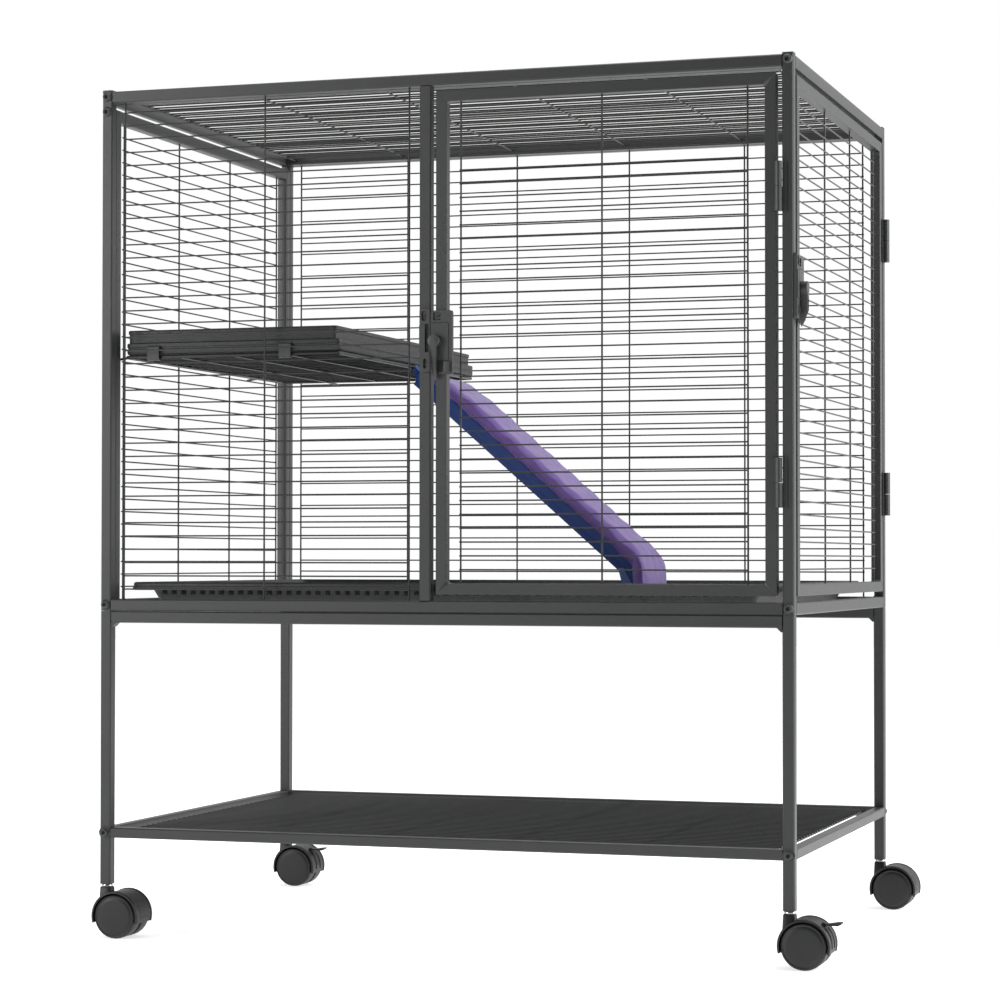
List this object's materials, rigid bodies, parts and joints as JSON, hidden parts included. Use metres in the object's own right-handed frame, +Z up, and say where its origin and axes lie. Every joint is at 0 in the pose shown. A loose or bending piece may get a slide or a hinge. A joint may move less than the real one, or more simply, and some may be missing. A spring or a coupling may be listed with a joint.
{
  "type": "small animal cage",
  "caption": "Wheeled wire cage for small animals with hinged front and side doors, a shelf with a padded ramp, a floor tray and a storage rack below.",
  "frame": {"origin": "on the floor under the middle of the whole footprint, casters included", "axes": "+X to the right along the front, +Y from the front door to the back, +Z up"},
  "size_m": [0.9746, 0.6554, 1.098],
  "materials": {
    "powder_coat": "dark grey hammered powder coat, satin",
    "black_plastic": "black moulded plastic, satin",
    "tread": "black hard rubber",
    "tray_plastic": "charcoal moulded plastic, satin",
    "blue_plastic": "deep blue moulded plastic",
    "lilac_cloth": "lilac satin cloth over padding"
  },
  "bodies": {
    "cage": {"front_left_post": "powder_coat", "front_centre_post": "powder_coat", "front_right_post": "powder_coat", "front_top_rail": "powder_coat", "front_bottom_rail": "powder_coat", "front_grille": "powder_coat", "left_panel": "powder_coat", "rear_panel": "powder_coat", "roof_panel": "powder_coat", "right_bottom_rail": "powder_coat", "floor_grid": "powder_coat", "front_lower_hinge_leaf": "powder_coat", "side_lower_hinge_leaf": "powder_coat", "front_upper_hinge_leaf": "powder_coat", "side_upper_hinge_leaf": "powder_coat", "platform_rack": "powder_coat", "front_left_leg": "powder_coat", "front_right_leg": "powder_coat", "rear_left_leg": "powder_coat", "rear_right_leg": "powder_coat", "stand_front_rail": "powder_coat", "stand_rear_rail": "powder_coat", "rack_front_rail": "powder_coat", "rack_rear_rail": "powder_coat", "rack_left_rail": "powder_coat", "rack_right_rail": "powder_coat", "rack_grille": "powder_coat", "front_latch_keeper": "black_plastic", "side_latch_keeper": "black_plastic", "platform_clip_left": "black_plastic", "platform_clip_right": "black_plastic", "floor_tray": "tray_plastic", "platform_pan": "tray_plastic"},
    "front_door": {"front_door": "powder_coat", "front_door_lower_hinge_leaf": "powder_coat", "front_door_upper_hinge_leaf": "powder_coat", "front_latch_housing": "black_plastic"},
    "front_latch": {"front_latch_lever": "black_plastic"},
    "side_door": {"side_door": "powder_coat", "side_door_lower_hinge_leaf": "powder_coat", "side_door_upper_hinge_leaf": "powder_coat", "side_latch_housing": "black_plastic"},
    "side_latch": {"side_latch_lever": "black_plastic"},
    "ramp": {"ramp_board": "blue_plastic", "ramp_cover": "lilac_cloth"},
    "front_left_swivel": {"front_left_caster": "black_plastic"},
    "front_left_wheels": {"front_left_wheels": "tread"},
    "front_right_swivel": {"front_right_caster": "black_plastic"},
    "front_right_wheels": {"front_right_wheels": "tread"},
    "front_right_brake": {"front_right_brake_lever": "black_plastic"},
    "rear_left_swivel": {"rear_left_caster": "black_plastic"},
    "rear_left_wheels": {"rear_left_wheels": "tread"},
    "rear_left_brake": {"rear_left_brake_lever": "black_plastic"},
    "rear_right_swivel": {"rear_right_caster": "black_plastic"},
    "rear_right_wheels": {"rear_right_wheels": "tread"}
  },
  "joints": [
    {"name": "front_door_hinge", "type": "hinge", "parent": "cage", "child": "front_door", "pos_m": [0.41336, -0.316, 0.758], "axis": [0, 0, 1], "range_deg": [0, 165]},
    {"name": "front_latch_turn", "type": "hinge", "parent": "front_door", "child": "front_latch", "pos_m": [-0.02264, -0.319, 0.76], "axis": [0, -1, 0], "range_deg": [0, 90]},
    {"name": "side_door_hinge", "type": "hinge", "parent": "cage", "child": "side_door", "pos_m": [0.43596, 0.2934, 0.758], "axis": [0, 0, 1], "range_deg": [0, 165]},
    {"name": "side_latch_turn", "type": "hinge", "parent": "side_door", "child": "side_latch", "pos_m": [0.43896, -0.2881, 0.8155], "axis": [1, 0, 0], "range_deg": [0, 90]},
    {"name": "ramp_hinge", "type": "hinge", "parent": "cage", "child": "ramp", "pos_m": [-0.16054, 0.033, 0.751], "axis": [0, -1, 0], "range_deg": [0, 42]},
    {"name": "front_left_swivel_turn", "type": "hinge", "parent": "cage", "child": "front_left_swivel", "pos_m": [-0.47569, -0.30365, 0.068], "axis": [0, 0, 1], "continuous": true},
    {"name": "front_left_wheel_spin", "type": "hinge", "parent": "front_left_swivel", "child": "front_left_wheels", "pos_m": [-0.45469, -0.30365, 0.02856], "axis": [0, 1, 0], "continuous": true},
    {"name": "front_right_swivel_turn", "type": "hinge", "parent": "cage", "child": "front_right_swivel", "pos_m": [0.42361, -0.30365, 0.068], "axis": [0, 0, 1], "continuous": true},
    {"name": "front_right_wheel_spin", "type": "hinge", "parent": "front_right_swivel", "child": "front_right_wheels", "pos_m": [0.44461, -0.30365, 0.02856], "axis": [0, 1, 0], "continuous": true},
    {"name": "front_right_brake_press", "type": "hinge", "parent": "front_right_swivel", "child": "front_right_brake", "pos_m": [0.46563, -0.30365, 0.05361], "axis": [0, 1, 0], "range_deg": [0, 12]},
    {"name": "rear_left_swivel_turn", "type": "hinge", "parent": "cage", "child": "rear_left_swivel", "pos_m": [-0.47569, 0.30365, 0.068], "axis": [0, 0, 1], "continuous": true},
    {"name": "rear_left_wheel_spin", "type": "hinge", "parent": "rear_left_swivel", "child": "rear_left_wheels", "pos_m": [-0.45469, 0.30365, 0.02856], "axis": [0, 1, 0], "continuous": true},
    {"name": "rear_left_brake_press", "type": "hinge", "parent": "rear_left_swivel", "child": "rear_left_brake", "pos_m": [-0.43367, 0.30365, 0.05361], "axis": [0, 1, 0], "range_deg": [0, 12]},
    {"name": "rear_right_swivel_turn", "type": "hinge", "parent": "cage", "child": "rear_right_swivel", "pos_m": [0.42361, 0.30365, 0.068], "axis": [0, 0, 1], "continuous": true},
    {"name": "rear_right_wheel_spin", "type": "hinge", "parent": "rear_right_swivel", "child": "rear_right_wheels", "pos_m": [0.44461, 0.30365, 0.02856], "axis": [0, 1, 0], "continuous": true}
  ]
}
